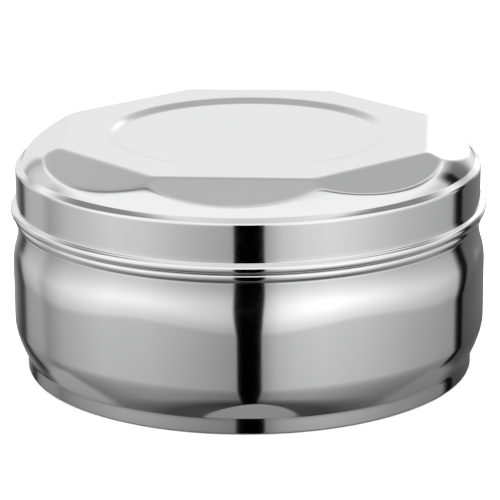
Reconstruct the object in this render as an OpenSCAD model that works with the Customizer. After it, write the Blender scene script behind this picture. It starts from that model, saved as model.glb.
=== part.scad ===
// Round steel spice box: panelled body, octagonal lift-off lid, inner plate lid, seven cups, spoon.
// Origin at the centre of the foot's underside, +Z up, front towards -Y.

/* [Box body] */
// Radius of the foot ring
foot_r = 94; // [93:0.5:95]
// Height of the foot ring
foot_h = 6.2; // [5.6:0.1:6.6]
// Radius of the belly at the middle of a panel
belly_r = 99; // [98.8:0.1:99.2]
// Radius of curvature of a panel, seen from above
panel_curve_r = 110; // [109:1:112]
// Number of panels round the belly
panel_count = 7; // [7:1:8]
// Radius of the neck above the belly
neck_r = 96.6; // [96.4:0.1:96.8]
// Radius of the bead that the lid rests on
bead_r = 97.9; // [97.6:0.1:98.2]
// Height of the seat for the lid, the top of the bead
seat_z = 67.2; // [66:0.2:70]
// Height of the collar inside the lid, above the seat
collar_h = 13.8; // [11:0.2:15]
// Thickness of the steel sheet of the body and the outer lid
sheet = 0.7; // [0.6:0.1:0.8]

/* [Outer lid] */
// Radius of the curled hem, the widest part of the box
hem_r = 100; // [99.6:0.1:100.6]
// Height of the curled hem
hem_h = 3.7; // [3:0.1:4]
// Radius of the lid's upright wall
skirt_r = 97.6; // [97.5:0.1:98]
// Height of the upright wall, hem included
skirt_h = 19.2; // [18:0.2:20]
// Height of the whole lid
lid_h = 32.3; // [31:0.2:34]
// Number of facets round the lid
facet_count = 8; // [7:1:10]
// Distance from the axis to the middle of a facet's upper edge
facet_top_r = 75.4; // [72:0.2:78]
// Slope of the facets below level, in degrees
facet_slope = 22.8; // [21:0.2:25]
// Angle by which the lid is turned against the body, in degrees
lid_turn = -5.8; // [-25:0.1:25]
// Radius of the pressed round panel in the top
recess_r = 59.4; // [50:0.2:64]
// Depth of the pressed round panel
recess_depth = 2.2; // [1.5:0.1:3.2]

/* [Cups] */
// Outside radius of a cup's wall
cup_r = 29.6; // [26:0.1:29.8]
// Radius of the curl round a cup's mouth
cup_curl = 1; // [0.7:0.1:1]
// Height of a cup
cup_h = 55; // [40:1:56]
// Thickness of the cups' sheet
cup_sheet = 0.5; // [0.4:0.1:0.7]
// Number of cups round the middle one
ring_cups = 6; // [6:1:6]

/* [Inner lid] */
// Radius of the inner lid
plate_r = 93.2; // [92:0.1:93.4]
// Height of the inner lid's turned-up edge
plate_edge_h = 3.6; // [2:0.1:5]
// Radius of the knob
knob_r = 11; // [9:0.5:13]
// Height of the knob above the inner lid
knob_h = 15; // [12:0.5:18]

/* [Spoon] */
// Radius of the sphere that the spoon's bowl is part of
bowl_sphere_r = 13; // [11:0.5:14]
// Depth of the spoon's bowl
bowl_depth = 8; // [6:0.5:8]
// Length of the spoon's handle
handle_l = 70; // [55:1:76]
// Width of the handle at its end
handle_w = 9; // [7:0.5:11]

/* [Hidden] */
$fn = 96;

steel = "silver";
over = 1;                                  // how far a cutting shape runs past what it cuts
base_z = 4;                                // underside of the raised base inside the foot ring
base_r = 87.2;                             // radius of the raised base
foot_edge = 1.2;                           // rounding of the foot's lower edge
floor_z = base_z + sheet;
collar_top = seat_z + collar_h;
collar_r = skirt_r - sheet - 0.5;          // 0.5 mm of play inside the lid's wall
rim_curl = 0.9;                            // half height of the rolled edge at the mouth
lid_top = seat_z + lid_h;
skirt_top = seat_z + skirt_h;
cup_pitch = 2 * (cup_r + cup_curl) + 0.8;  // cups stand 0.8 mm apart
cup_top = floor_z + cup_h;
plate_z = cup_top;
plate_top = plate_z + sheet;

// Points on an arc about c, from angle a0 to a1 in n steps.
function arc(c, r, a0, a1, n) =
    [for (i = [0:n]) let (a = a0 + (a1 - a0) * i / n) c + r * [cos(a), sin(a)]];

// The belly's upright outline: an arc up from the foot, and two equal arcs in to the neck.
ridge_r = belly_r + 1.4;
low_arc_r = 17;
low_arc_z = 19.5;
low_arc_a = 47;
shoulder_z0 = 44;
shoulder_z1 = 62;
shoulder_dr = (ridge_r - neck_r) / 2;
shoulder_dz = (shoulder_z1 - shoulder_z0) / 2;
shoulder_r = (shoulder_dr * shoulder_dr + shoulder_dz * shoulder_dz) / (2 * shoulder_dr);
shoulder_a = asin(shoulder_dz / shoulder_r);

// Outline of the body before its panels are pressed, t inside the outer face.
function body_outline(t) = concat(
    [[0, 0]],
    arc([foot_r - foot_edge, foot_edge], foot_edge - t, -90, 0, 3),
    [[foot_r + 0.1 - t, foot_h]],
    arc([ridge_r - low_arc_r - t, low_arc_z], low_arc_r, -low_arc_a, 0, 3),
    arc([ridge_r - shoulder_r - t, shoulder_z0], shoulder_r, 0, shoulder_a, 2),
    arc([neck_r + shoulder_r - t, shoulder_z1], shoulder_r, 180 + shoulder_a, 180, 2),
    [[neck_r - t, seat_z - 4.2], [bead_r - 0.3 - t, seat_z - 3.2], [bead_r - t, seat_z - 1.8],
     [bead_r - 0.3 - t, seat_z - t], [collar_r - t, seat_z - t]]);

// A panel is pressed in by a ring-shaped sector, which has its own axis beyond the body's.
panel_z0 = foot_h + 0.7;
panel_z1 = 56;
high_arc_r = 60;
panel_reach = 14;
panel_sweep = asin((ridge_r + 8) * sin(180 / panel_count) / panel_curve_r);

// Each outline is staggered by dz, so that neighbours' edges don't meet on the ridge between them.
stagger = 0.11;
function panel_outline(r, dz) = concat(
    [[r + panel_reach, panel_z0 + dz]],
    arc([r - low_arc_r, low_arc_z + dz], low_arc_r,
        -asin((low_arc_z - panel_z0) / low_arc_r), 0, 3),
    arc([r - high_arc_r, shoulder_z0 + dz], high_arc_r,
        0, asin((panel_z1 - shoulder_z0) / high_arc_r), 2),
    [[r + panel_reach, panel_z1 + dz]]);

module panel_press(t, i)
    rotate([0, 0, (i + 0.5) * 360 / panel_count - 90])
        translate([belly_r - panel_curve_r, 0, 0])
            rotate([0, 0, -panel_sweep])
                rotate_extrude(angle = 2 * panel_sweep, $fn = 180)
                    polygon(panel_outline(panel_curve_r - t, (i - panel_count / 2) * stagger));

// Below each ridge a flat, undercut facet runs from the foot ring to the ridge's lower end.
facet_foot = [foot_r + 0.25, foot_h + 0.3];
facet_head = [belly_r - 0.4, 14.7];
facet_over = 2;
module ridge_press(t, i)
    rotate([90, 0, i * 360 / panel_count - 90])
        linear_extrude(height = 60, center = true)
            let (up = facet_head + facet_over * (facet_head - facet_foot))
                polygon([facet_foot - [t, 0], up - [t, 0], [ridge_r + panel_reach, up[1]],
                         [ridge_r + panel_reach, facet_foot[1]]]);

// The panels are pressed in one after another, down to number 1, each with the facet beside it.
module panelled(t, i)
    if (i == 0)
        rotate_extrude()
            children();
    else
        difference() {
            panelled(t, i - 1)
                children();
            panel_press(t, i);
            ridge_press(t, i);
        }

module box_body() {
    color(steel)
        difference() {
            panelled(0, panel_count)
                polygon(concat(body_outline(0), [[collar_r, collar_top - rim_curl]],
                               arc([collar_r - rim_curl, collar_top - rim_curl], rim_curl, 0, 90, 5),
                               [[0, collar_top]]));
            panelled(sheet, panel_count)
                polygon(concat([[0, floor_z], [base_r + sheet, floor_z], [base_r + sheet, sheet]],
                               [for (p = body_outline(sheet)) if (p[0] > base_r + sheet) p],
                               [[collar_r - sheet, collar_top - 3 * rim_curl]],
                               arc([collar_r - rim_curl - 0.2, collar_top - rim_curl],
                                   rim_curl, 270, 90, 6),
                               [[collar_r - rim_curl - 0.2, collar_top + over],
                                [0, collar_top + over]]));
            translate([0, 0, -over])
                cylinder(r = base_r, h = base_z + over);
        }
}

// Outline of the lid before its facets are pressed, t inside the outer face.
corner = 1.6;
shoulder_foot = [skirt_r - 2.2, skirt_top + 2.1];
lid_arc_r = 18;
lid_arc_a = 21;
lid_arc_c = shoulder_foot - lid_arc_r * [cos(lid_arc_a), sin(lid_arc_a)];
function lid_outline(t) = concat(
    arc([skirt_r - corner, skirt_top], corner - t * 0.9, 0, 80, 5),
    arc(lid_arc_c, lid_arc_r - t, lid_arc_a, 72, 9),
    [[0, lid_top + over]]);

// The form of the lid's top, t inside the outer face.
module lid_form(t)
    difference() {
        rotate_extrude()
            children();
        translate([-hem_r, -hem_r, lid_top - t])
            cube([2 * hem_r, 2 * hem_r, 2 * over + 10]);
        for (i = [0:facet_count - 1])
            rotate([0, 0, i * 360 / facet_count - 90 + lid_turn])
                translate([facet_top_r, 0, lid_top])
                    rotate([0, facet_slope, 0])
                        translate([-hem_r / 2, -hem_r, -t])
                            cube([2 * hem_r, 2 * hem_r, 30]);
    }

module recess(t)
    translate([0, 0, lid_top - recess_depth - t])
        rotate_extrude()
            polygon([[0, 0], [recess_r - 3.6 + t, 0], [recess_r + t / 2, recess_depth + t / 2],
                     [recess_r + t / 2, recess_depth + 2 * over], [0, recess_depth + 2 * over]]);

module outer_lid() {
    hem_c = [hem_r - hem_h / 2, seat_z + hem_h / 2];
    color(steel)
        difference() {
            lid_form(0)
                polygon(concat([[0, seat_z]], arc(hem_c, hem_h / 2, -90, 70, 9),
                               [[skirt_r, seat_z + hem_h + 0.5]], lid_outline(0)));
            difference() {
                lid_form(sheet)
                    polygon(concat([[0, seat_z - over], [skirt_r - sheet, seat_z - over]],
                                   lid_outline(sheet)));
                recess(sheet);
            }
            recess(0);
        }
}

module cup() {
    corner_r = 7;
    inner = cup_r - cup_sheet;
    color(steel)
        rotate_extrude()
            polygon(concat(
                [[0, 0]],
                arc([cup_r - corner_r, corner_r], corner_r, -90, 0, 8),
                [[cup_r, cup_h - 2 * cup_curl]],
                arc([cup_r, cup_h - cup_curl], cup_curl, -90, 90, 8),
                [[inner, cup_h]],
                arc([cup_r - corner_r, corner_r], corner_r - cup_sheet, 0, -90, 8),
                [[0, cup_sheet]]));
}

module ring_cup(i)
    rotate([0, 0, (i - 1) * 360 / ring_cups])
        translate([cup_pitch, 0, floor_z])
            cup();

module cup_centre()
    translate([0, 0, floor_z])
        cup();

rivet_r = 2;
rivet_head_r = 4.5;
rivet_head_h = 1.2;
module inner_lid() {
    edge_r = 1.5;
    color(steel)
        difference() {
            translate([0, 0, plate_z])
                rotate_extrude()
                    polygon(concat(
                        [[0, 0]],
                        arc([plate_r - edge_r, edge_r], edge_r, -90, 0, 5),
                        [[plate_r, plate_edge_h], [plate_r - sheet, plate_edge_h]],
                        arc([plate_r - edge_r, edge_r], edge_r - sheet, 0, -90, 5),
                        [[0, sheet]]));
            translate([0, 0, plate_z - over])
                cylinder(r = rivet_r + 0.1, h = sheet + 2 * over);
        }
}

module knob() {
    neck = 4.5;
    bore_h = 9;
    color(steel)
        translate([0, 0, plate_top])
            difference() {
                rotate_extrude()
                    polygon(concat(
                        [[0, 0], [knob_r * 0.6, 0], [knob_r * 0.6, 1.2], [neck, 2.6],
                         [neck, knob_h * 0.42]],
                        arc([knob_r - 2, knob_h * 0.42 + 2.4], 2, -90, 30, 5),
                        arc([0, knob_h - 28], 28, 72, 90, 6)));
                translate([0, 0, -over])
                    cylinder(r = rivet_r + 0.05, h = bore_h + over);
            }
}

module knob_rivet()
    color(steel)
        translate([0, 0, plate_z - rivet_head_h])
            union() {
                cylinder(r = rivet_head_r, h = rivet_head_h);
                cylinder(r = rivet_r, h = rivet_head_h + sheet + 8.5);
            }

// The spoon lies on the inner lid beside the knob, on its bowl and its handle's end.
spoon_at = [-38, -40];
spoon_turn = 8;
spoon_lift = 0.25;
module spoon() {
    inside = bowl_sphere_r - 0.6;
    rim_z = bowl_sphere_r - bowl_depth;
    rim_radius = sqrt(bowl_sphere_r * bowl_sphere_r - rim_z * rim_z);
    handle_t = 1;
    handle_end = rim_radius + handle_l;
    tilt = asin((bowl_depth - handle_t) / handle_end);
    color(steel)
        translate([spoon_at[0], spoon_at[1], plate_top + spoon_lift + bowl_sphere_r])
            rotate([0, tilt, spoon_turn])
                difference() {
                    union() {
                        difference() {
                            sphere(r = bowl_sphere_r);
                            translate([0, 0, bowl_sphere_r - rim_z])
                                cube(2 * bowl_sphere_r, center = true);
                        }
                        translate([rim_radius - 2, 0, -rim_z - handle_t])
                            linear_extrude(height = handle_t)
                                polygon(concat([[0, -4], [handle_l * 0.5, -2.6]],
                                               arc([handle_l + 2 - handle_w / 2, 0], handle_w / 2,
                                                   -80, 80, 10),
                                               [[handle_l * 0.5, 2.6], [0, 4]]));
                    }
                    sphere(r = inside);
                }
}

box_body();
outer_lid();
inner_lid();
knob();
knob_rivet();
cup_centre();
ring_cup(1);  // cup_1
ring_cup(2);  // cup_2
ring_cup(3);  // cup_3
ring_cup(4);  // cup_4
ring_cup(5);  // cup_5
ring_cup(6);  // cup_6
spoon();
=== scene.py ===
"""A round spice box of polished stainless steel, with seven cups, an inner lid and a spoon inside.

Smooth pressed shells replace the CAD nodes, and their steel mirrors a procedural studio."""
import math

import bmesh
import bpy
import numpy as np
from mathutils import Matrix, Vector


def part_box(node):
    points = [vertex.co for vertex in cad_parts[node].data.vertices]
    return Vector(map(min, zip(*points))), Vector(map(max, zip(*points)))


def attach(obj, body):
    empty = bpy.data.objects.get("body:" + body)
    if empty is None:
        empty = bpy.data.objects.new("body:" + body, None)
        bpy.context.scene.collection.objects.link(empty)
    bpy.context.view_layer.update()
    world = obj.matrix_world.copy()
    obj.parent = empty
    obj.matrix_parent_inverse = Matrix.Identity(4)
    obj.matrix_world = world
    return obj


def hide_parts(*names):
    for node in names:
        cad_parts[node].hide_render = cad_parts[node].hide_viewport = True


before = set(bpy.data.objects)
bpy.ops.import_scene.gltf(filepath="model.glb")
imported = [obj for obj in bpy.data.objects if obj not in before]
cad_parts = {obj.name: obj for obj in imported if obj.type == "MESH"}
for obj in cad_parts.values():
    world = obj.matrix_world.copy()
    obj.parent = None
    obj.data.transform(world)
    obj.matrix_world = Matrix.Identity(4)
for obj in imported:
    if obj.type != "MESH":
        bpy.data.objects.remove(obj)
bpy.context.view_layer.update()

MM = 0.001
SHEET = 0.7            # thickness of the body's, the outer lid's and the inner lid's steel, mm
PANELS = 7             # panels round the belly, with a ridge near the front
FACETS = 8             # facets round the lid's top
LID_TURN = -5.8        # azimuth of the middle of the lid's first facet, degrees from the front
VIEW_TURN = -1.5       # azimuth of the camera, degrees from the front
OUTER, INNER = -1, -2  # in place of a radius: a ring of a shell's outer or inner face, placed by bend()


# ---------------------------------------------------------------- outlines, in millimetres

def arc(cx, cz, r, a0, a1, n):
    """n + 1 points of an arc about (cx, cz), angles in degrees."""
    a = np.radians(np.linspace(a0, a1, n + 1))
    return [(cx + r * c, cz + r * s) for c, s in zip(np.cos(a), np.sin(a))]


def line(p, q, n):
    """n points from p towards q, without q."""
    return [(p[0] + (q[0] - p[0]) * i / n, p[1] + (q[1] - p[1]) * i / n) for i in range(n)]


def smooth_min(a, b, k):
    """The smaller of a and b, rounded over a width of about k."""
    h = np.clip(0.5 + 0.5 * (b - a) / k, 0.0, 1.0)
    return b + (a - b) * h - k * h * (1.0 - h)


def smooth_step(x, lo, hi):
    """0 below lo and 1 above hi, with a smooth rise between them."""
    t = np.clip((x - lo) / (hi - lo), 0.0, 1.0)
    return t * t * (3.0 - 2.0 * t)


# ---------------------------------------------------------------- meshes

def lathe(name, path, columns, bend=None):
    """A closed skin turned about +Z from an open path of (r, z) that starts and ends on the axis.

    Its faces look outwards where the path starts below and runs outwards, as all but the outer lid's do.
    bend(r, z, az) may move each ring's points; az is 0 at the front and grows to the right."""
    path = np.array(path, float)
    az = np.arange(columns) * 2 * math.pi / columns
    ring_r = np.repeat(path[1:-1, :1], columns, axis=1)
    ring_z = np.repeat(path[1:-1, 1:2], columns, axis=1)
    if bend is not None:
        ring_r, ring_z = bend(ring_r, ring_z, az[None, :])
    x = ring_r * np.sin(az)
    y = -ring_r * np.cos(az)
    rings = np.stack([x, y, ring_z], axis=-1)
    ends = np.array([[0, 0, path[0, 1]], [0, 0, path[-1, 1]]])
    verts = np.concatenate([rings.reshape(-1, 3), ends]) * MM
    rows = len(path) - 2
    first, last = rows * columns, rows * columns + 1
    faces = []
    for j in range(columns):
        k = (j + 1) % columns
        faces.append((first, k, j))
        faces.append((last, (rows - 1) * columns + j, (rows - 1) * columns + k))
        for i in range(rows - 1):
            a, b = i * columns, (i + 1) * columns
            faces.append((a + j, a + k, b + k, b + j))
    return make_mesh(name, verts, faces)


def make_mesh(name, verts, faces):
    """An object with smooth faces, linked to the scene; verts are in metres."""
    mesh = bpy.data.meshes.new(name)
    mesh.from_pydata([tuple(v) for v in verts], [], faces)
    mesh.validate()
    mesh.shade_smooth()
    mesh.update()
    obj = bpy.data.objects.new(name, mesh)
    bpy.context.collection.objects.link(obj)
    return obj


# ---------------------------------------------------------------- the box's body

FOOT_R, FOOT_H = 94.0, 6.2         # outside of the foot ring, and its height
BELLY_R, RIDGE = 99.4, 0.6         # mean radius of the wall; ridges stand out and panels lie in by RIDGE
RIDGE_TURN = 2.1                   # how far the ridges lie to the left of the lenses, degrees
NECK_R, NECK_Z = 96.6, 62.3        # the neck above the belly
PANEL_TOP, PANEL_ARCH = 44.0, 1.7  # mean height of the wall's upper edge, and how far it rises in a panel
PANEL_FOOT = 21.0                  # height at which the wall starts to turn in
BELLY_FOOT_Z = 6.6                 # height at which the belly meets the foot
FOOT_STEP = 0.1                    # how far the belly's lower edge stands out from the foot
LENS_H, LENS_HALF = 8.0, 12.0      # flat lens under each ridge: height in mm, half width in degrees
LENS_DIP = 0.15                    # how far its lower edge lies inside the belly's lower edge
SEAT_Z = 67.2                      # height of the outer lid's lower edge, which rests on the bead
COLLAR_R, COLLAR_TOP = 95.9, 81.0  # the collar inside the outer lid, and the top of its rolled rim
BASE_R, BASE_Z, FLOOR_Z = 87.2, 4.0, 4.7  # the raised base: radius, and heights of its two faces


def belly(z, az, inset):
    """Radius of the panelled belly at height z and azimuth az, inset mm inside its outer face."""
    wall = BELLY_R + RIDGE * np.cos(PANELS * (az + math.radians(RIDGE_TURN)))
    top = PANEL_TOP - PANEL_ARCH * np.cos(PANELS * az)
    # An S of two equal arcs from the wall's upper edge in to the neck.
    dr, dz = (wall - NECK_R) / 2, (NECK_Z - top) / 2
    r = (dr * dr + dz * dz) / (2 * dr)
    crown = wall - r + np.sqrt(np.maximum(r * r - np.clip(z - top, 0, dz) ** 2, 0))
    hollow = NECK_R + r - np.sqrt(np.maximum(r * r - np.clip(NECK_Z - z, 0, dz) ** 2, 0))
    upper = np.where(z < top + dz, crown, hollow)
    # Below, the wall turns in to the foot, and under each ridge a lens cuts straight across the turn.
    pitch = 2 * math.pi / PANELS
    off = np.degrees(az - pitch * np.round(az / pitch)) / LENS_HALF
    swell = np.clip(1 - off * off, 0, 1)
    edge = BELLY_FOOT_Z + LENS_H * swell
    base = FOOT_R + FOOT_STEP

    def undercut(height):
        """Radius of the wall where it turns in, without the lenses."""
        t = np.clip((height - BELLY_FOOT_Z) / (PANEL_FOOT - BELLY_FOOT_Z), 0, 1)
        return base + (wall - base) * (1.5 * t - 0.5 * t ** 3)

    low = base - LENS_DIP * swell
    up = (z - BELLY_FOOT_Z) / np.maximum(edge - BELLY_FOOT_Z, 0.01)
    lens = low + (undercut(edge) - low) * up
    lower = np.where(z < edge, lens, undercut(z))
    return np.where(z < PANEL_FOOT, lower, upper) - inset


def body_path():
    """From the axis along the underside, up outside, over the rolled rim, and down inside to the floor."""
    wall_z = 42.0                  # just below the lowest point of the wall's upper edge
    floor_r, base_edge = 80.0, 1.4  # flat part of the raised base, and the rounding of its edge
    # Roundings of the foot ring: its outer edge, its inner edge, and the hollow inside its outer edge.
    foot_edge, foot_turn, foot_hollow = 0.8, 1.0, 1.2
    # The bead that the outer lid rests on: how far it stands out, half its height, and its middle.
    bead_r, bead_half, bead_z = 1.4, 1.75, SEAT_Z - 1.9
    roll = 0.9                     # radius of the rolled rim
    roll_z = COLLAR_TOP - roll
    z_up = np.concatenate([np.linspace(BELLY_FOOT_Z, PANEL_FOOT, 56, endpoint=False),
                           np.linspace(PANEL_FOOT, wall_z, 8, endpoint=False),
                           np.linspace(wall_z, NECK_Z, 34)])
    bead = [(NECK_R - 0.15 + bead_r * math.sin(a), bead_z - bead_half * math.cos(a))
            for a in np.radians(np.linspace(12, 150, 14))]
    outer = ([(0, BASE_Z)] + line((8, BASE_Z), (floor_r, BASE_Z), 6)
             + arc(BASE_R - 1.6, BASE_Z - base_edge, base_edge, 90, 0, 6)
             + arc(BASE_R + foot_turn, foot_turn, foot_turn, 180, 270, 5)
             + line((BASE_R + 1.4, 0), (FOOT_R - 1.6, 0), 3)
             + arc(FOOT_R - foot_edge, foot_edge, foot_edge, -90, 0, 6)
             + line((FOOT_R, 1.4), (FOOT_R, FOOT_H), 5)
             + [(FOOT_R, FOOT_H), (FOOT_R + FOOT_STEP / 2, FOOT_H + 0.2)])
    up = [(OUTER, z) for z in z_up]
    top = ([(NECK_R, NECK_Z + 0.5), (NECK_R - 0.1, NECK_Z + 0.9)] + bead
           + [(COLLAR_R + 0.15, SEAT_Z - 0.1)]
           + line((COLLAR_R, SEAT_Z + 0.3), (COLLAR_R, roll_z), 6)
           + arc(COLLAR_R - roll, roll_z, roll, 0, 235, 14)
           + line((COLLAR_R - SHEET, roll_z - 1.0), (COLLAR_R - SHEET, SEAT_Z - 0.4), 5)
           + [(r - SHEET, z) for r, z in reversed(bead)]
           # Known fault: the last two heights are below NECK_Z, so the skin doubles back up to it.
           + [(NECK_R - SHEET, z) for z in (62.7, 60.0, 57.5)])
    down = [(INNER, z) for z in z_up[::-1][::2]]
    hollow_z = SHEET + foot_hollow
    inner = ([(FOOT_R - SHEET - 0.3, FOOT_H)]
             + line((FOOT_R - SHEET, FOOT_H - 1.0), (FOOT_R - SHEET, hollow_z), 3)
             + arc(FOOT_R - hollow_z, hollow_z, foot_hollow, 0, -90, 6)
             + line((FOOT_R - 2.2, SHEET), (BASE_R + 1.9, SHEET), 2)
             + arc(BASE_R + 1.9, 1.6, 0.9, 270, 180, 4)
             + arc(BASE_R - 0.8, FLOOR_Z - base_edge, base_edge, 0, 90, 6)
             + line((floor_r, FLOOR_Z), (8, FLOOR_Z), 6) + [(0, FLOOR_Z)])
    return outer + up + top + down + inner


def make_body():
    """The pressed body: a foot ring, the panelled belly, a neck, a bead and the collar."""
    def bend(r, z, az):
        out = np.where(r == OUTER, belly(z, az, 0.0), r)
        out = np.where(r == INNER, belly(z, az, SHEET), out)
        return out, z

    return lathe("body_shell", body_path(), PANELS * 60, bend)


# ---------------------------------------------------------------- the outer lid

LID_TOP = 99.5
SKIRT_R, SKIRT_TOP = 97.1, 86.0    # the upright wall, and the height at which it turns in
HEM_R, HEM_H = 99.5, 3.7           # the curled hem's outside, and its height
SHOULDER = (94.5, 88.9)            # foot of the round shoulder
SHOULDER_ARC = (24.0, 28.0)        # its radius, and the angle above level of its first normal
FACET_TOP_R, FACET_SLOPE = 75.4, 22.8  # where the facets meet the flat top, and their slope in degrees
FACET_BLEND, TOP_BLEND, RIM_BLEND = 0.7, 0.8, 0.55  # widths over which the faces run into each other
RECESS_R, RECESS_DEPTH = 60.0, 1.6  # the round pressed panel
RECESS_WALL = 7.0                  # width of its sloping edge
RAY_R, RAY_Z = 62.0, 74.0          # the point that the lid's rounded top is measured from
BEYOND = 999.0                     # a distance past every face


def lid_top_point(beta, az, inset):
    """Where a ray at angle beta above level from (RAY_R, RAY_Z) meets the lid's top, inset mm inside it."""
    c, s = np.cos(beta), np.sin(beta)
    flat = (LID_TOP - inset - RAY_Z) / np.maximum(s, 1e-6)
    turn = az - math.radians(LID_TURN)
    pitch = 2 * math.pi / FACETS
    off = turn - pitch * np.round(turn / pitch)
    slope = math.radians(FACET_SLOPE)
    facets = []
    for k in (-1, 0, 1):
        nr = math.sin(slope) * np.cos(off + k * pitch)
        reach = FACET_TOP_R * math.sin(slope) + LID_TOP * math.cos(slope) - inset
        facets.append((reach - RAY_R * nr - RAY_Z * math.cos(slope)) / (c * nr + s * math.cos(slope)))
    facet = smooth_min(smooth_min(facets[0], facets[1], FACET_BLEND), facets[2], FACET_BLEND)
    ar, aa = SHOULDER_ARC[0], math.radians(SHOULDER_ARC[1])
    dr = SHOULDER[0] - ar * math.cos(aa) - RAY_R
    dz = SHOULDER[1] - ar * math.sin(aa) - RAY_Z
    b = c * dr + s * dz
    rim = b + np.sqrt(np.maximum(b * b - dr * dr - dz * dz + (ar - inset) ** 2, 0))
    rim = np.where(beta > math.atan2(dz + ar, dr), BEYOND, rim)
    d = smooth_min(smooth_min(flat, facet, TOP_BLEND), rim, RIM_BLEND)
    return RAY_R + d * c, RAY_Z + d * s


def lid_path():
    """From the axis over the top, down the skirt, round the hem and back inside.

    Rings marked OUTER and INNER have the angle of lid_top_point's ray in place of z."""
    low = math.atan2(SHOULDER[1] - RAY_Z, SHOULDER[0] - RAY_R)
    angles = np.linspace(low, math.pi / 2, 96)
    hem = (HEM_R - HEM_H / 2, SEAT_Z + HEM_H / 2)
    corner, corner_turn = 1.6, 57      # rounding at the top of the skirt, and its turn in degrees
    hem_hollow = 0.45                  # rounding between the skirt and the hem
    hem_top = SEAT_Z + HEM_H
    floor_r = RECESS_R - RECESS_WALL - 1  # the flat middle of the pressed panel
    outer_top = [(0, LID_TOP - RECESS_DEPTH)]
    outer_top += line((6, LID_TOP), (floor_r, LID_TOP), 8)
    outer_top += line((floor_r, LID_TOP), (RAY_R, LID_TOP), 30)
    outer_top += [(OUTER, a) for a in angles[::-1]]
    sr, sz = SHOULDER
    side = ([(sr + 0.09, sz - 0.14), (sr + 0.26, sz - 0.28)]
            + line((sr + 0.6, sz - 0.56), (SKIRT_R - 0.8, SKIRT_TOP + 1.39), 3)
            + arc(SKIRT_R - corner, SKIRT_TOP, corner, corner_turn, 0, 9)
            + line((SKIRT_R, SKIRT_TOP - 0.6), (SKIRT_R, hem_top + 0.9), 8)
            + arc(SKIRT_R + hem_hollow, hem_top + 0.6, hem_hollow, 180, 250, 4)
            + arc(hem[0], hem[1], HEM_H / 2, 88, -90, 22)
            + [(HEM_R - 2, SEAT_Z), (HEM_R - 2.5, SEAT_Z + 0.15), (SKIRT_R - SHEET, SEAT_Z + 0.6)]
            + line((SKIRT_R - SHEET, SEAT_Z + 3), (SKIRT_R - SHEET, SKIRT_TOP), 5)
            + arc(SKIRT_R - corner, SKIRT_TOP, corner - SHEET, 0, corner_turn, 5)
            + [(sr + 0.2, sz - 1.25), (sr - 0.25, sz - 0.9)])
    inside = LID_TOP - SHEET
    inner_top = [(INNER, a) for a in angles[2::2]]
    inner_top += line((RAY_R, inside), (floor_r, inside), 18)
    inner_top += line((floor_r, inside), (6, inside), 5)
    inner_top += [(0, inside - RECESS_DEPTH)]
    return outer_top + side + inner_top


def make_lid():
    """The pressed outer lid: facets round a flat top with a round panel, a skirt and a curled hem."""
    press_z = 90.0                     # only what is above this is pressed in to make the round panel

    def bend(r, z, az):
        ro, zo = lid_top_point(z, az, 0.0)
        ri, zi = lid_top_point(z, az, SHEET)
        out_r = np.where(r == OUTER, ro, np.where(r == INNER, ri, r))
        out_z = np.where(r == OUTER, zo, np.where(r == INNER, zi, z))
        sink = RECESS_DEPTH * (1 - smooth_step(out_r, RECESS_R - RECESS_WALL, RECESS_R))
        out_z = np.where(out_z > press_z, out_z - sink, out_z)
        return out_r, out_z

    return lathe("lid_shell", lid_path(), FACETS * 56, bend)


# ---------------------------------------------------------------- cups, inner lid, knob, rivet, spoon

def make_cup(node):
    """A straight cup with a round lower corner and a curled mouth."""
    low, high = (Vector(corner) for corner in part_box(node))
    centre = (low + high) / 2
    r, h, curl, sheet, corner = 29.6, (high.z - low.z) / MM, 1.0, 0.5, 7.0
    path = ([(0, 0), (8, 0), (16, 0)] + arc(r - corner, corner, corner, -90, 0, 14)
            + line((r, corner + 1), (r, h - 2.4), 8) + arc(r, h - curl, curl, -80, 170, 18)
            + line((r - sheet, h - 2), (r - sheet, corner + 1), 8)
            + arc(r - corner, corner, corner - sheet, 0, -90, 12)
            + [(16, sheet), (8, sheet), (0, sheet)])
    cup = lathe(node + "_shell", path, 120)
    for v in cup.data.vertices:
        v.co += Vector((centre.x, centre.y, low.z))
    return cup


def make_inner_lid():
    """A flat plate with a turned-up edge and one low pressed rib round it."""
    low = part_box("inner_lid")[0]
    z, r, edge, h = low[2] / MM, 93.2, 1.5, 3.6
    lip = SHEET / 2                      # radius of the rounded top of the turned-up edge
    rib_r, rib_half, rib_h = 60, 2.2, 0.55
    hole_r = 2.4                         # the rivet's hole, which this skin closes under the knob
    rib = [(rib_r + x, SHEET + rib_h * math.cos(x / rib_half * math.pi / 2) ** 2)
           for x in np.linspace(-rib_half, rib_half, 11)]
    path = ([(0, 0)] + line((8, 0), (r - edge, 0), 10) + arc(r - edge, edge, edge, -90, 0, 8)
            + line((r, edge + 0.3), (r, h - lip), 3) + arc(r - lip, h - lip, lip, 0, 180, 8)
            + arc(r - edge, edge, edge - SHEET, 0, -90, 6)
            + line((r - 4, SHEET), (rib_r + 3, SHEET), 5) + rib[::-1]
            + line((rib_r - 3, SHEET), (hole_r, SHEET), 7) + [(0, SHEET)])
    return lathe("inner_lid_shell", [(a, b + z) for a, b in path], 256)


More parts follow.
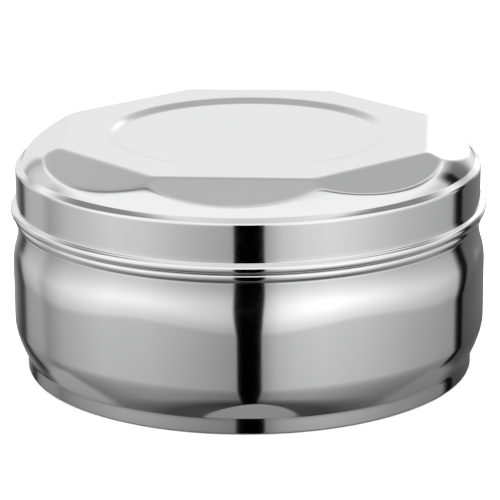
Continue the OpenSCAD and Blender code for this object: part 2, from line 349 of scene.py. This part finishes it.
def make_knob():
    """A turned knob: a foot, a hollow stem and a head with a domed top."""
    low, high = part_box("knob")
    z, h, r = low[2] / MM, (high[2] - low[2]) / MM, (high[0] - low[0]) / 2 / MM
    foot, foot_edge, stem = r * 0.6, 0.4, 4.6
    # Radii of the hollow up the stem, the turn below the head, the head's edge, and its top.
    hollow, under, rim, dome = 3.4, 1.2, 2, 28
    waist = h * 0.42
    path = ([(0, 0), (3, 0), (foot - foot_edge, 0)]
            + arc(foot - foot_edge, foot_edge, foot_edge, -90, 40, 5)
            + arc(stem + hollow, waist - 1.6, hollow, 232, 180, 8)
            + arc(stem + under, waist, under, 180, 95, 6)
            + arc(r - rim, waist + 2.4, rim, -80, 30, 12)
            + arc(0, h - dome, dome, 71.5, 89, 12) + [(0, h)])
    return lathe("knob_turned", [(a, b + z) for a, b in path], 96)


def make_rivet():
    """A rivet with a low domed head under the inner lid and its shank up in the knob."""
    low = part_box("knob_rivet")[0]
    z, head, shank, head_h, shank_h = low[2] / MM, 4.5, 2.0, 1.2, 9.0
    dome = 9.6
    path = ([(0, 0)] + arc(0, dome, dome, -88, -66, 6) + arc(head - 0.55, 0.9, 0.45, -50, 60, 5)
            + [(head - 0.5, head_h), (shank, head_h), (shank, head_h + shank_h), (0, head_h + shank_h)])
    return lathe("rivet_turned", [(a, max(b, 0) + z) for a, b in path], 48)


def spoon_bowl(ball, depth, sheet):
    """A cap of a ball about the origin, depth deep, and the radius of its rim."""
    rim_a = math.degrees(math.asin((ball - depth) / ball))
    path = arc(0, 0, ball, -90, -rim_a, 20) + arc(0, 0, ball - sheet, -rim_a, -90, 20)
    path[0], path[-1] = (0, -ball), (0, -ball + sheet)
    return lathe("spoon_bowl", path, 72), ball * math.cos(math.radians(rim_a))


def spoon_handle(rim, length, thick, top_z):
    """A flat handle along +X from the bowl's rim, which narrows and then widens to a rounded end."""
    root_half, waist_half, end_half = 4.0, 2.6, 4.5
    overlap = 0.55                       # how far it runs into the bowl, mm
    waist_t = 0.55                       # where it is narrowest, as a share of its length
    dish_h, edge_h = 0.25, 0.12          # hollow along its top, and the rounding of its long edges
    n_l, n_w = 60, 10
    verts, faces = [], []
    for upper in (True, False):
        for x in np.linspace(rim - overlap, rim + length, n_l + 1):
            t = (x - rim) / length
            narrowing = math.sin(min(max(t, 0), waist_t) / waist_t * math.pi / 2)
            half = root_half - (root_half - waist_half) * narrowing
            half += (end_half - waist_half) * float(smooth_step(t, 0.5, 0.92))
            tip = (rim + length - x) / end_half
            if tip < 1:
                half *= math.sqrt(max(1 - (1 - tip) ** 2, 0.0004))
            for j in range(n_w + 1):
                v = 2 * j / n_w - 1
                dish = dish_h * (1 - v * v) * float(smooth_step(t, 0.05, 0.3))
                edge = edge_h * (abs(v) > 0.95)
                verts.append((x, v * half, top_z - (edge if upper else thick - edge) - dish))
    stride = n_w + 1
    bottom = (n_l + 1) * stride
    for i in range(n_l):
        for j in range(n_w):
            a = i * stride + j
            faces.append((a, a + stride, a + stride + 1, a + 1))
            faces.append((bottom + a, bottom + a + 1, bottom + a + stride + 1, bottom + a + stride))
        for a, flip in ((i * stride, False), (i * stride + n_w, True)):
            quad = (a, bottom + a, bottom + a + stride, a + stride)
            faces.append(quad[::-1] if flip else quad)
    for j in range(n_w):
        a = j
        faces.append((a, a + 1, bottom + a + 1, bottom + a))
        a = n_l * stride + j
        faces.append((a, bottom + a, bottom + a + 1, a + 1))
    return make_mesh("spoon_handle", np.array(verts) * MM, faces)


def make_spoon():
    """A round bowl of one radius with a flat handle, lying on the inner lid with its handle down."""
    ball, depth, sheet = 13.0, 8.0, 0.6
    length, thick = 70.0, 1.0
    bowl, rim = spoon_bowl(ball, depth, sheet)
    handle = spoon_handle(rim, length, thick, depth - ball)
    mesh = bpy.data.meshes.new("spoon_pressed")
    spoon = bpy.data.objects.new("spoon_pressed", mesh)
    bpy.context.collection.objects.link(spoon)
    bm = bmesh.new()
    bm.from_mesh(bowl.data)
    bm.from_mesh(handle.data)
    bm.to_mesh(mesh)
    bm.free()
    for part in (bowl, handle):
        bpy.data.objects.remove(part)
    # Tilt the handle's end down to the plate, turn the spoon, and put the bowl beside the knob.
    bowl_x, bowl_y, clear, turn = -38, -40, 0.25, math.radians(8)
    tilt = math.asin((depth - thick) / (rim + length))
    ct, st = math.cos(tilt), math.sin(tilt)
    cz, sz = math.cos(turn), math.sin(turn)
    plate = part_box("knob")[0][2] / MM
    for v in mesh.vertices:
        x, y, z = v.co / MM
        x, z = x * ct + z * st, -x * st + z * ct
        x, y = x * cz - y * sz, x * sz + y * cz
        v.co = Vector((x + bowl_x, y + bowl_y, z + plate + clear + ball)) * MM
    mesh.shade_smooth()
    return spoon


# ---------------------------------------------------------------- materials

class Maths:
    """Small helpers that add math nodes to a node tree and return their output sockets."""

    def __init__(self, tree):
        self.tree = tree

    def op(self, kind, *values):
        """A math node of this kind; each value is a number or an output socket."""
        node = self.tree.nodes.new("ShaderNodeMath")
        node.operation = kind
        for i, v in enumerate(values):
            if isinstance(v, (int, float)):
                node.inputs[i].default_value = v
            else:
                self.tree.links.new(v, node.inputs[i])
        return node.outputs[0]

    def reach(self, coords):
        """Distance of a point from the Z axis, and the point's height."""
        split = self.tree.nodes.new("ShaderNodeSeparateXYZ")
        self.tree.links.new(coords, split.inputs["Vector"])
        x, y, z = split.outputs
        return self.op("SQRT", self.op("ADD", self.op("MULTIPLY", x, x), self.op("MULTIPLY", y, y))), z

    def step(self, value, lo, hi):
        """A smooth step of value from 0 at lo to 1 at hi, and from 1 to 0 where lo is above hi."""
        node = self.tree.nodes.new("ShaderNodeMapRange")
        node.interpolation_type = "SMOOTHSTEP"
        node.inputs["From Min"].default_value = min(lo, hi)
        node.inputs["From Max"].default_value = max(lo, hi)
        node.inputs["To Min"].default_value = 0.0 if lo < hi else 1.0
        node.inputs["To Max"].default_value = 1.0 if lo < hi else 0.0
        self.tree.links.new(value, node.inputs["Value"])
        return node.outputs[0]

    def ramp(self, value, lo, hi, stops):
        """Straight lines through stops, pairs of a value from lo to hi and a tone."""
        scaled = self.op("DIVIDE", self.op("SUBTRACT", value, lo), hi - lo)
        node = self.tree.nodes.new("ShaderNodeValToRGB")
        node.color_ramp.interpolation = "LINEAR"
        el = node.color_ramp.elements
        el[0].position, el[1].position = 0.0, 1.0
        for x, tone in stops:
            p = (x - lo) / (hi - lo)
            e = el[0] if p <= 0 else el[-1] if p >= 1 else el.new(p)
            e.color = (tone, tone, tone, 1)
        self.tree.links.new(scaled, node.inputs["Fac"])
        sep = self.tree.nodes.new("ShaderNodeSeparateColor")
        self.tree.links.new(node.outputs["Color"], sep.inputs["Color"])
        return sep.outputs["Red"]

    def mix(self, a, b, t):
        """a where t is 0 and b where t is 1."""
        return self.op("MULTIPLY_ADD", self.op("SUBTRACT", b, a), t, a)

    def bump(self, value, centre, half, soft):
        """1 within half of centre, falling smoothly to 0 over soft outside it."""
        return self.step(self.op("ABSOLUTE", self.op("SUBTRACT", value, centre)), half + soft, half)


def steel(name, colour, roughness, brush, scale):
    """Polished steel: faint smudges in its roughness, and fine turning marks round its axis as bump."""
    smudge_scale, smudge_darkening = 38.0, 0.97
    mark_depth = 0.00002
    mat = bpy.data.materials.new(name)
    mat.use_nodes = True
    tree = mat.node_tree
    nodes, links = tree.nodes, tree.links
    shader = nodes["Principled BSDF"]
    shader.inputs["Metallic"].default_value = 1.0
    coords = nodes.new("ShaderNodeTexCoord").outputs["Object"]
    smudge = nodes.new("ShaderNodeTexNoise")
    smudge.inputs["Scale"].default_value = smudge_scale
    smudge.inputs["Detail"].default_value = 6.0
    smudge.inputs["Roughness"].default_value = 0.62
    links.new(coords, smudge.inputs["Vector"])
    rough = nodes.new("ShaderNodeMapRange")
    rough.inputs["From Min"].default_value = 0.3
    rough.inputs["From Max"].default_value = 0.75
    rough.inputs["To Min"].default_value = roughness * 0.75
    rough.inputs["To Max"].default_value = roughness * 1.35
    links.new(smudge.outputs["Fac"], rough.inputs["Value"])
    links.new(rough.outputs["Result"], shader.inputs["Roughness"])
    tint = nodes.new("ShaderNodeMix")
    tint.data_type = "RGBA"
    tint.inputs["A"].default_value = (*[c * smudge_darkening for c in colour], 1)
    tint.inputs["B"].default_value = (*colour, 1)
    links.new(smudge.outputs["Fac"], tint.inputs["Factor"])
    links.new(tint.outputs["Result"], shader.inputs["Base Color"])
    # The marks run round the axis: noise of the distance from the axis and the height only.
    radius, height = Maths(tree).reach(coords)
    join = nodes.new("ShaderNodeCombineXYZ")
    links.new(radius, join.inputs["X"])
    links.new(height, join.inputs["Z"])
    marks = nodes.new("ShaderNodeTexNoise")
    marks.inputs["Scale"].default_value = scale
    marks.inputs["Detail"].default_value = 3.0
    links.new(join.outputs["Vector"], marks.inputs["Vector"])
    bump = nodes.new("ShaderNodeBump")
    bump.inputs["Strength"].default_value = brush
    bump.inputs["Distance"].default_value = mark_depth
    links.new(marks.outputs["Fac"], bump.inputs["Height"])
    links.new(bump.outputs["Normal"], shader.inputs["Normal"])
    return mat


# ---------------------------------------------------------------- build

mirror_steel = steel("mirror_steel", (0.86, 0.86, 0.865), 0.07, 0.12, 900)
satin_steel = steel("satin_steel", (0.8, 0.8, 0.805), 0.2, 0.35, 1400)

PIECES = [(make_body(), "box", ["box_body"], "polished_steel"),
          (make_lid(), "outer_lid", ["outer_lid"], "polished_steel"),
          (make_inner_lid(), "inner_lid", ["inner_lid"], "satin_steel"),
          (make_knob(), "inner_lid", ["knob"], "polished_steel"),
          (make_rivet(), "inner_lid", ["knob_rivet"], "satin_steel"),
          (make_spoon(), "spoon", ["spoon"], "polished_steel")]
CUPS = ["cup_centre"] + [f"cup_{i}" for i in range(1, 7)]
PIECES += [(make_cup(cup), cup, [cup], "satin_steel") for cup in CUPS]
for piece, body, nodes, slot in PIECES:
    piece.data.materials.append(mirror_steel if slot == "polished_steel" else satin_steel)
    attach(piece, body)
    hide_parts(*nodes)


# ---------------------------------------------------------------- floor, light, camera

def plane(name, size, z):
    """A level square of the stage, size metres to each side of the axis, and its material's node tree."""
    mesh = bpy.data.meshes.new(name)
    corners = [(x * size, y * size, z) for x, y in ((-1, -1), (1, -1), (1, 1), (-1, 1))]
    mesh.from_pydata(corners, [], [(0, 1, 2, 3)])
    obj = bpy.data.objects.new(name, mesh)
    bpy.context.collection.objects.link(obj)
    mat = bpy.data.materials.new(name)
    mat.use_nodes = True
    mesh.materials.append(mat)
    return obj, mat.node_tree


# How bright the floor looks in the steel, by distance from the axis in metres: the box's own shadow.
SHADE_TONES = [(0, 0.12), (0.09, 0.2), (0.095, 0.56), (0.104, 0.61), (0.12, 0.64), (0.15, 0.80),
               (0.21, 0.84), (0.25, 0.90), (0.30, 1.0), (0.5, 1.0)]


def make_floor():
    """A plain white floor, and the shadow round the box as it shows in the steel."""
    floor, tree = plane("floor", 30.0, 0.0)
    shader = tree.nodes["Principled BSDF"]
    shader.inputs["Base Color"].default_value = (0.95, 0.95, 0.95, 1)
    shader.inputs["Roughness"].default_value = 0.9
    floor.visible_glossy = False

    below = 0.0002
    shade, tree = plane("floor_shade", 1.0, -below)
    for view in ("camera", "diffuse", "shadow", "transmission"):
        setattr(shade, "visible_" + view, False)
    tree.nodes.remove(tree.nodes["Principled BSDF"])
    maths = Maths(tree)
    distance, _ = maths.reach(tree.nodes.new("ShaderNodeTexCoord").outputs["Object"])
    clear = tree.nodes.new("ShaderNodeBsdfTransparent")
    tree.links.new(maths.ramp(distance, 0, 0.5, SHADE_TONES), clear.inputs["Color"])
    tree.links.new(clear.outputs[0], tree.nodes["Material Output"].inputs["Surface"])


# The studio's tones, each how bright that part of the room looks in a mirror, from 0 to 1.
# Round the walls by azimuth, 0 towards the camera and growing to the right: two soft lamps in front,
# and darker gaps at the far sides.
WALL_TONES = [(-180, 0.60), (-172, 0.62), (-164, 0.60), (-155, 0.40), (-150, 0.28), (-146, 0.30),
              (-141, 0.59), (-134, 0.645), (-122, 0.655), (-114, 0.575), (-98, 0.69), (-70, 0.78),
              (-52, 0.765), (-30, 0.68), (-8, 0.60), (8, 0.60), (16, 0.74), (27, 0.80), (40, 0.825),
              (55, 0.79), (80, 0.69), (118, 0.61), (121, 0.36), (124, 0.09), (128, 0.09), (131, 0.33),
              (142, 0.37), (158, 0.44), (180, 0.50)]
# What the walls' tones are multiplied by, by elevation: darker towards the floor.
FALL_TONES = [(-90, 0.45), (-66, 0.42), (-64, 0.48), (-61, 0.58), (-54, 0.81), (-40, 0.86), (-17, 1.0),
              (-8, 1.08), (4, 1.20), (12, 1.24), (30, 1.24)]
# Above the walls, by elevation: a bright ring, and a greyer ceiling.
ABOVE_TONES = [(0, 0.93), (25, 0.94), (62, 0.93), (76, 0.84), (90, 0.78)]
# Behind the box, by elevation: white down to the horizon, and a ceiling that starts lower.
REAR_TONES = [(-30, 0.45), (-12, 0.5), (-7, 0.85), (0, 0.86), (9, 0.87), (14, 0.885), (18, 0.895),
              (23, 0.865), (30, 0.74), (40, 0.655), (55, 0.675), (66, 0.71), (78, 0.79), (90, 0.81)]
SIDE_TONE, SIDE_DROP = 0.74, 0.13  # low down at the left, and how much darker it is at the right
UNDER_TONE = 0.68                  # straight below: the bright floor at the foot
# Dim patches high up at the sides: azimuth of the middle, depth, and softness in degrees.
PATCHES = [(-122, 0.45, 26), (121, 0.45, 15)]
WINDOW_TONE = 0.2                  # added by a small bright window behind the box
GAMMA, GLOSS = 2.2, 0.84           # from a tone to light, and the share of the light that steel reflects


def make_world():
    """The studio as a function of direction: azimuth and elevation in degrees."""
    world = bpy.data.worlds.new("studio")
    world.use_nodes = True
    bpy.context.scene.world = world
    tree = world.node_tree
    m = Maths(tree)
    coords = tree.nodes.new("ShaderNodeTexCoord")
    turn = tree.nodes.new("ShaderNodeVectorRotate")
    turn.rotation_type = "Z_AXIS"
    turn.inputs["Angle"].default_value = -math.radians(VIEW_TURN)
    tree.links.new(coords.outputs["Generated"], turn.inputs["Vector"])
    split = tree.nodes.new("ShaderNodeSeparateXYZ")
    tree.links.new(turn.outputs["Vector"], split.inputs["Vector"])
    x, y, z = split.outputs
    az = m.op("DEGREES", m.op("ARCTAN2", x, m.op("MULTIPLY", y, -1.0)))
    el = m.op("DEGREES", m.op("ARCSINE", z))
    off_front = m.op("ABSOLUTE", az)

    tone = m.op("MULTIPLY", m.ramp(az, -180, 180, WALL_TONES), m.ramp(el, -90, 30, FALL_TONES))
    # Low down past both sides of the box, then straight below, above, and behind.
    side = m.op("MULTIPLY_ADD", m.step(az, -20, 20), -SIDE_DROP, SIDE_TONE)
    tone = m.mix(tone, side, m.op("MULTIPLY", m.step(off_front, 100, 116), m.step(el, -30, -38)))
    tone = m.mix(tone, UNDER_TONE, m.step(el, -74.6, -76.2))
    tone = m.mix(tone, m.ramp(el, 0, 90, ABOVE_TONES), m.step(el, 16, 30))
    behind = m.op("MULTIPLY", m.step(off_front, 138, 152), m.step(el, -14, -6))
    tone = m.mix(tone, m.ramp(el, -30, 90, REAR_TONES), behind)
    for centre, depth, soft in PATCHES:
        patch = m.op("MULTIPLY", m.bump(az, centre, 8, soft), m.bump(el, 53, 9, 16))
        tone = m.op("MULTIPLY", tone, m.op("SUBTRACT", 1.0, m.op("MULTIPLY", patch, depth)))
    window = m.op("MULTIPLY", m.bump(az, 163, 5, 7), m.bump(el, 14, 8, 8))
    tone = m.op("MULTIPLY_ADD", window, WINDOW_TONE, tone)
    # The dark gap that the camera stands in.
    gap = m.op("MULTIPLY", m.bump(az, 0.3, 6.5, 1.3),
               m.op("MULTIPLY", m.step(el, 25, 20), m.step(el, -75, -72)))
    tone = m.op("MULTIPLY", tone, m.op("SUBTRACT", 1.0, gap))
    light = m.op("MULTIPLY", m.op("POWER", m.op("MAXIMUM", tone, 0.001), GAMMA), 1.0 / GLOSS)
    back = tree.nodes["Background"]
    tree.links.new(light, back.inputs["Color"])
    back.inputs["Strength"].default_value = 1.0


def make_lamp():
    """A wide overhead lamp for the floor only; the steel takes its light from the room."""
    data = bpy.data.lights.new("overhead", "SUN")
    data.energy = 5.5
    data.angle = math.radians(80)
    lamp = bpy.data.objects.new("overhead", data)
    bpy.context.collection.objects.link(lamp)
    lamp.visible_glossy = False


def make_camera():
    """The camera looks down at the box a little from the left of its front."""
    azimuth, elevation, roll = math.radians(VIEW_TURN), math.radians(16.84), math.radians(0.4)
    distance = 1.066                     # metres from the point that it aims at
    aim_z, aim_right = 0.0474, 0.0006    # that point's height, and how far right of the axis it is
    focal, frame_size = 2522.5, 500      # both in pixels of the image
    data = bpy.data.cameras.new("camera")
    data.sensor_width = 36.0
    data.lens = focal / frame_size * data.sensor_width
    cam = bpy.data.objects.new("camera", data)
    bpy.context.collection.objects.link(cam)
    back = Vector((math.sin(azimuth) * math.cos(elevation), -math.cos(azimuth) * math.cos(elevation),
                   math.sin(elevation)))
    right = Vector((math.cos(azimuth), math.sin(azimuth), 0))
    cam.location = Vector((0, 0, aim_z)) + right * aim_right + back * distance
    look = (-back).to_track_quat("-Z", "Y").to_matrix()
    cam.rotation_euler = (look @ Matrix.Rotation(-roll, 3, "Z")).to_euler()
    bpy.context.scene.camera = cam


make_floor()
make_world()
make_lamp()
make_camera()
bpy.context.scene.view_settings.view_transform = "Standard"
